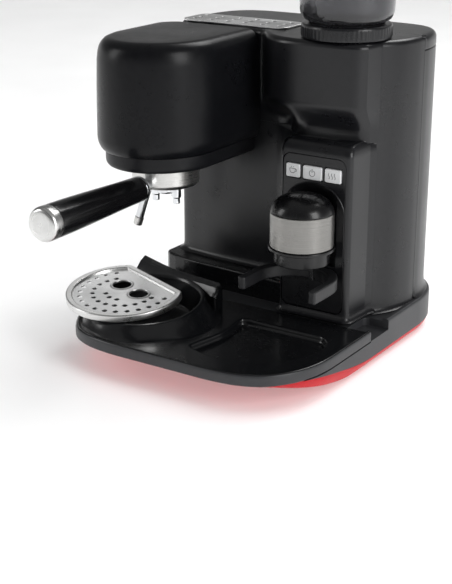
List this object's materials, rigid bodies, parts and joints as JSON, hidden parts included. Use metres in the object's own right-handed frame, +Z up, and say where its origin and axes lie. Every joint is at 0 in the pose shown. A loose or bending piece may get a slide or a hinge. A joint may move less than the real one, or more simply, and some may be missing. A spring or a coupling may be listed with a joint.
{
  "type": "espresso machine",
  "caption": "Pump espresso machine with integrated coffee grinder, lever portafilter, steam wand, pull-out drip tray and rear water tank on a rounded base.",
  "frame": {"origin": "on the floor under the centre of the bounding box", "axes": "+X to the right seen from the front, +Y to the back (portafilter handle points to -Y), +Z up"},
  "size_m": [0.3148, 0.423, 0.4084],
  "materials": {
    "red_shell": "moulded, satin gloss",
    "rubber_foot": "matte",
    "dark_plastic": "fine texture, satin",
    "black_satin": "satin black lacquer",
    "gloss_black": "polished",
    "brushed_steel": "brushed",
    "chrome": "polished",
    "white_button": "satin silver white",
    "circuit_board": "solder mask",
    "aluminium": "cast",
    "seal": "silicone",
    "smoke_clear": "smoked, translucent",
    "motor_steel": "satin",
    "pump_body": "moulded"
  },
  "bodies": {
    "root": {"lower_base_pan": "red_shell", "foot_front_left": "rubber_foot", "foot_front_right": "rubber_foot", "foot_rear_left": "rubber_foot", "foot_rear_right": "rubber_foot", "base_frame": "dark_plastic", "main_body_shell": "black_satin", "control_panel": "black_satin", "button_board": "circuit_board", "chute_dome": "gloss_black", "chute_band": "brushed_steel", "chute_ring": "gloss_black", "chute_neck": "black_satin", "portafilter_fork": "dark_plastic", "head_shell": "black_satin", "head_collar": "black_satin", "group_head": "aluminium", "group_gasket": "seal", "shower_screen": "brushed_steel", "shower_screw": "brushed_steel", "thermoblock": "aluminium", "cup_warmer_plate": "brushed_steel", "burr_carrier": "aluminium", "grinder_motor": "motor_steel", "coffee_duct": "dark_plastic", "water_pump": "pump_body", "control_board": "circuit_board", "power_inlet": "black_satin"},
    "tray": {"drip_tray": "black_satin"},
    "grid": {"drip_grid": "brushed_steel"},
    "portafilter": {"portafilter_body": "brushed_steel", "filter_basket": "brushed_steel", "portafilter_spout": "chrome", "handle_ferrule": "chrome", "portafilter_handle": "gloss_black", "handle_end_cap": "brushed_steel"},
    "wand": {"steam_ball_joint": "chrome", "steam_wand": "chrome", "steam_tip": "brushed_steel"},
    "knob": {"steam_knob": "black_satin"},
    "cup_button": {"button_cup": "white_button"},
    "power_button": {"button_power": "white_button"},
    "steam_button": {"button_steam": "white_button"},
    "trigger": {"grinder_trigger": "black_satin"},
    "adjuster": {"grind_adjust_ring": "black_satin", "upper_burr": "brushed_steel"},
    "hopper": {"bean_hopper": "smoke_clear"},
    "hopper_cover": {"hopper_lid": "smoke_clear"},
    "burr": {"lower_burr": "brushed_steel"},
    "tank": {"water_tank": "smoke_clear"},
    "tank_cover": {"tank_lid": "black_satin"}
  },
  "joints": [
    {"name": "tray_pull", "type": "slide", "parent": "root", "child": "tray", "axis": [0, -1, 0], "range_m": [0, 0.16]},
    {"name": "grid_lift", "type": "slide", "parent": "tray", "child": "grid", "axis": [0, 0, 1], "range_m": [0, 0.05]},
    {"name": "portafilter_twist", "type": "hinge", "parent": "root", "child": "portafilter", "pos_m": [-0.07165, -0.0145, 0.18], "axis": [0, 0, 1], "range_deg": [-45, 0]},
    {"name": "wand_swivel", "type": "hinge", "parent": "root", "child": "wand", "pos_m": [-0.09465, 0.0315, 0.185], "axis": [0, 0, 1], "range_deg": [-45, 28]},
    {"name": "steam_knob_turn", "type": "hinge", "parent": "root", "child": "knob", "pos_m": [-0.13365, 0.0135, 0.262], "axis": [-1, 0, 0], "range_deg": [0, 270]},
    {"name": "cup_press", "type": "slide", "parent": "root", "child": "cup_button", "axis": [0, 1, 0], "range_m": [0, 0.0015], "stiffness_N_per_m": 600},
    {"name": "power_press", "type": "slide", "parent": "root", "child": "power_button", "axis": [0, 1, 0], "range_m": [0, 0.0015], "stiffness_N_per_m": 600},
    {"name": "steam_press", "type": "slide", "parent": "root", "child": "steam_button", "axis": [0, 1, 0], "range_m": [0, 0.0015], "stiffness_N_per_m": 600},
    {"name": "trigger_push", "type": "slide", "parent": "root", "child": "trigger", "axis": [0, 1, 0], "range_m": [0, 0.003], "stiffness_N_per_m": 300},
    {"name": "grind_setting", "type": "hinge", "parent": "root", "child": "adjuster", "pos_m": [0.08835, 0.0715, 0.326], "axis": [0, 0, 1], "range_deg": [-60, 60]},
    {"name": "hopper_lift", "type": "slide", "parent": "root", "child": "hopper", "axis": [0, 0, 1], "range_m": [0, 0.06]},
    {"name": "hopper_lid_lift", "type": "slide", "parent": "hopper", "child": "hopper_cover", "axis": [0, 0, 1], "range_m": [0, 0.04]},
    {"name": "burr_spin", "type": "hinge", "parent": "root", "child": "burr", "pos_m": [0.08835, 0.0715, 0.27], "axis": [0, 0, 1], "continuous": true},
    {"name": "tank_lift", "type": "slide", "parent": "root", "child": "tank", "axis": [0, 0, 1], "range_m": [0, 0.12]},
    {"name": "tank_lid_flip", "type": "hinge", "parent": "tank", "child": "tank_cover", "pos_m": [0.01585, 0.1927, 0.304], "axis": [-1, 0, 0], "range_deg": [0, 75]}
  ]
}
